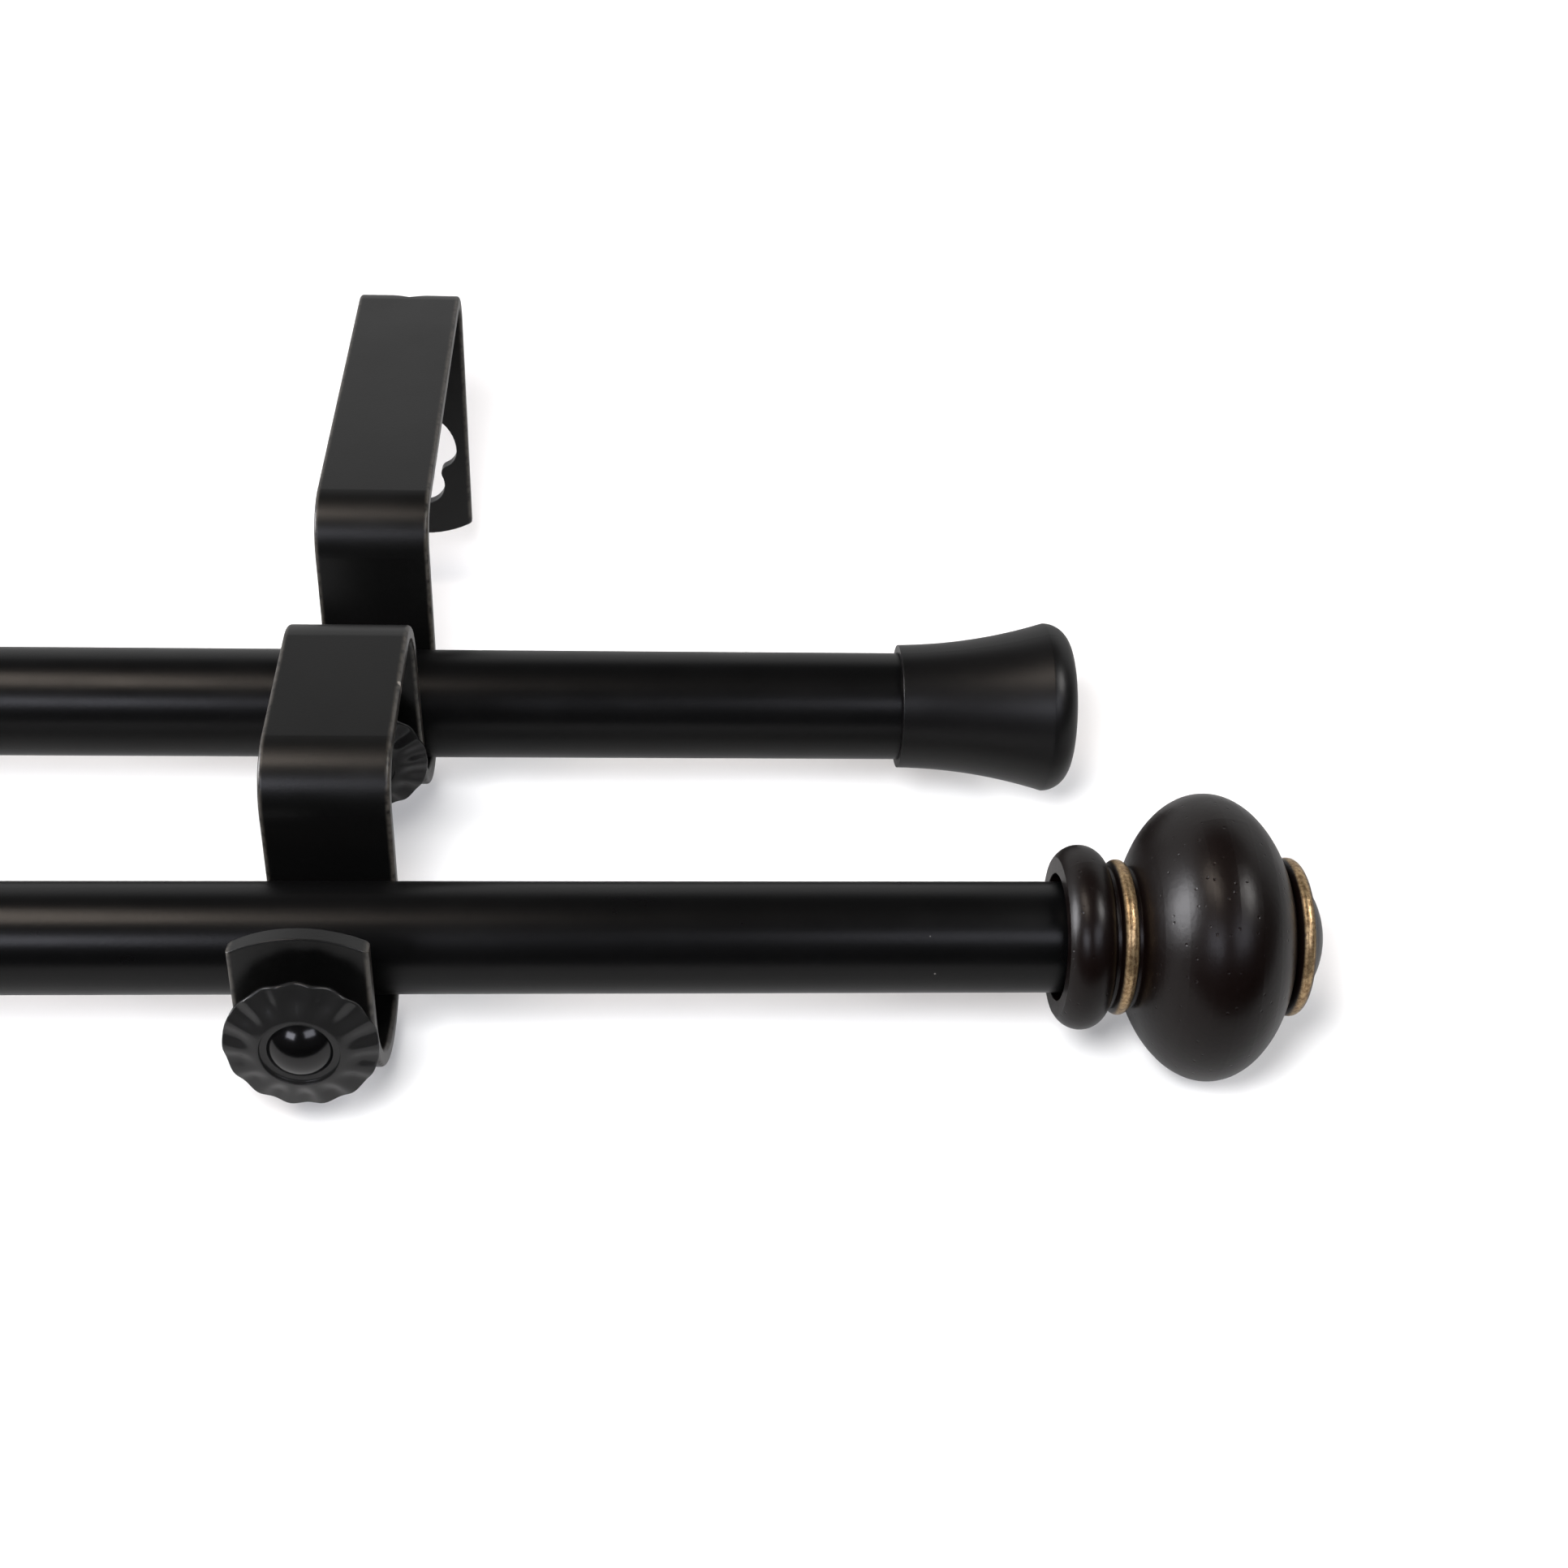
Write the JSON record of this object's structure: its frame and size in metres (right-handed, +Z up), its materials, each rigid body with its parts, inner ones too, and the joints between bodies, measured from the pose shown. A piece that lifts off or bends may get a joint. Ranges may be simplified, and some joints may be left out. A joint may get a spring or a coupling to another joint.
{
  "type": "double curtain pole",
  "caption": "Telescoping curtain poles, one behind the other, on folded strap brackets with thumbscrews, with ball finials in front and flared end caps behind.",
  "frame": {"origin": "on the wall plane, midway between the brackets, level with the axes of both poles", "axes": "+X along the poles to the right as seen from the room, +Y to the wall, +Z up"},
  "size_m": [0.7998, 0.2055, 0.0694],
  "materials": {
    "strap_paint": "matte black",
    "tube_paint": "satin black",
    "thumb_paint": "gloss black",
    "finial_resin": "satin dark brown-black with antique gold on the bead and the ring",
    "cap_plastic": "satin black",
    "plug_plastic": "matte black",
    "stud_steel": "bright zinc"
  },
  "bodies": {
    "brackets": {"bracket_left": "strap_paint", "bracket_right": "strap_paint", "front_wide_tube": "tube_paint", "finial_left": "finial_resin", "finial_stud_left": "stud_steel", "tube_plug_left": "plug_plastic", "back_wide_tube": "tube_paint", "end_cap_right": "cap_plastic"},
    "front_slim": {"front_slim_tube": "tube_paint", "finial_right": "finial_resin", "finial_stud_right": "stud_steel", "tube_plug_right": "plug_plastic"},
    "back_slim": {"back_slim_tube": "tube_paint", "end_cap_left": "cap_plastic"},
    "front_screw_left": {"front_screw_left": "thumb_paint"},
    "front_disc_left": {"front_disc_left": "thumb_paint"},
    "front_screw_right": {"front_screw_right": "thumb_paint"},
    "front_disc_right": {"front_disc_right": "thumb_paint"},
    "back_screw_left": {"back_screw_left": "thumb_paint"},
    "back_disc_left": {"back_disc_left": "thumb_paint"},
    "back_screw_right": {"back_screw_right": "thumb_paint"},
    "back_disc_right": {"back_disc_right": "thumb_paint"}
  },
  "joints": [
    {"name": "front_pole_slide", "type": "slide", "parent": "brackets", "child": "front_slim", "axis": [1, 0, 0], "range_m": [-0.1, 0.15]},
    {"name": "back_pole_slide", "type": "slide", "parent": "brackets", "child": "back_slim", "axis": [-1, 0, 0], "range_m": [-0.085, 0.15]},
    {"name": "front_screw_left_advance", "type": "slide", "parent": "brackets", "child": "front_screw_left", "axis": [0, 1, 0], "range_m": [-0.0025, 0]},
    {"name": "front_disc_left_turn", "type": "hinge", "parent": "front_screw_left", "child": "front_disc_left", "pos_m": [-0.2355, -0.195, 0], "axis": [0, 1, 0], "range_deg": [-1080, 0]},
    {"name": "front_screw_right_advance", "type": "slide", "parent": "brackets", "child": "front_screw_right", "axis": [0, 1, 0], "range_m": [-0.0025, 0]},
    {"name": "front_disc_right_turn", "type": "hinge", "parent": "front_screw_right", "child": "front_disc_right", "pos_m": [0.2355, -0.195, 0], "axis": [0, 1, 0], "range_deg": [-1080, 0]},
    {"name": "back_screw_left_advance", "type": "slide", "parent": "brackets", "child": "back_screw_left", "axis": [0, 0.9903, 0.1392], "range_m": [-0.0025, 0]},
    {"name": "back_disc_left_turn", "type": "hinge", "parent": "back_screw_left", "child": "back_disc_left", "pos_m": [-0.2355, -0.11576, 0.0009], "axis": [0, 0.9903, 0.1392], "range_deg": [-1080, 0]},
    {"name": "back_screw_right_advance", "type": "slide", "parent": "brackets", "child": "back_screw_right", "axis": [0, 0.9903, 0.1392], "range_m": [-0.0025, 0]},
    {"name": "back_disc_right_turn", "type": "hinge", "parent": "back_screw_right", "child": "back_disc_right", "pos_m": [0.2355, -0.11576, 0.0009], "axis": [0, 0.9903, 0.1392], "range_deg": [-1080, 0]}
  ],
  "couplings": [
    {"joint": "front_screw_left_advance", "follows": "front_disc_left_turn", "m_per_rad": 0.00012732},
    {"joint": "front_screw_right_advance", "follows": "front_disc_right_turn", "m_per_rad": 0.00012732},
    {"joint": "back_screw_left_advance", "follows": "back_disc_left_turn", "m_per_rad": 0.00012732},
    {"joint": "back_screw_right_advance", "follows": "back_disc_right_turn", "m_per_rad": 0.00012732}
  ]
}
